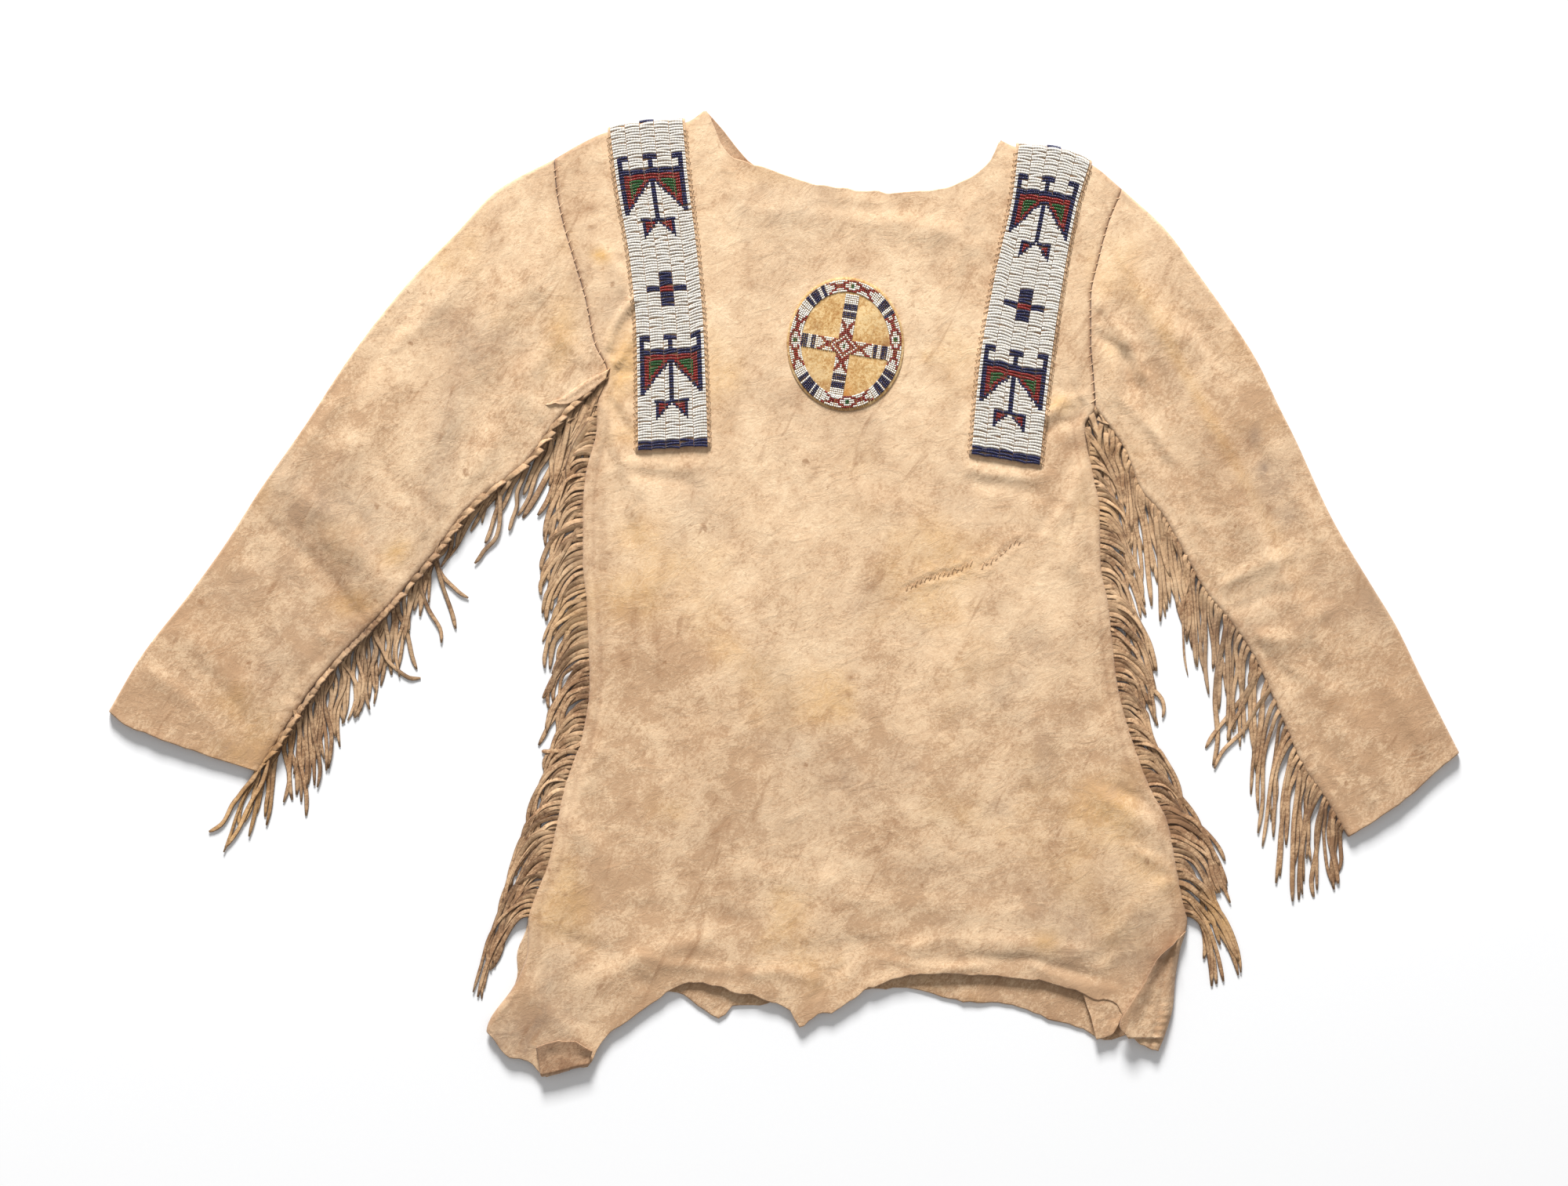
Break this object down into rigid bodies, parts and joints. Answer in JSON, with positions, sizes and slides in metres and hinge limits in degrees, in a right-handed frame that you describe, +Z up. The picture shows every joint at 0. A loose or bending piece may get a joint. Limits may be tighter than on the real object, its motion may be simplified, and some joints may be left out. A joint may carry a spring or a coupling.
{
  "type": "plains war shirt",
  "caption": "Hide shirt laid flat, with fringed seams, two beaded shoulder strips and a beaded rosette on the chest.",
  "frame": {"origin": "middle of the shirt's box, on the surface that it lies on", "axes": "+X across the chest to the right as seen from above, +Y towards the neck, +Z up from the surface"},
  "size_m": [0.913, 0.6528, 0.0085],
  "materials": {
    "hide": "soft suede",
    "fringe": "soft suede",
    "beadwork": "opaque glossy beads"
  },
  "bodies": {
    "root": {"front_panel": "hide", "back_panel": "hide", "sleeve_left": "hide", "sleeve_right": "hide", "strip_left": "beadwork", "strip_right": "beadwork", "rosette": "beadwork", "fringe_side_left": "fringe", "fringe_side_right": "fringe", "fringe_sleeve_left": "fringe", "fringe_sleeve_right": "fringe"}
  },
  "joints": []
}
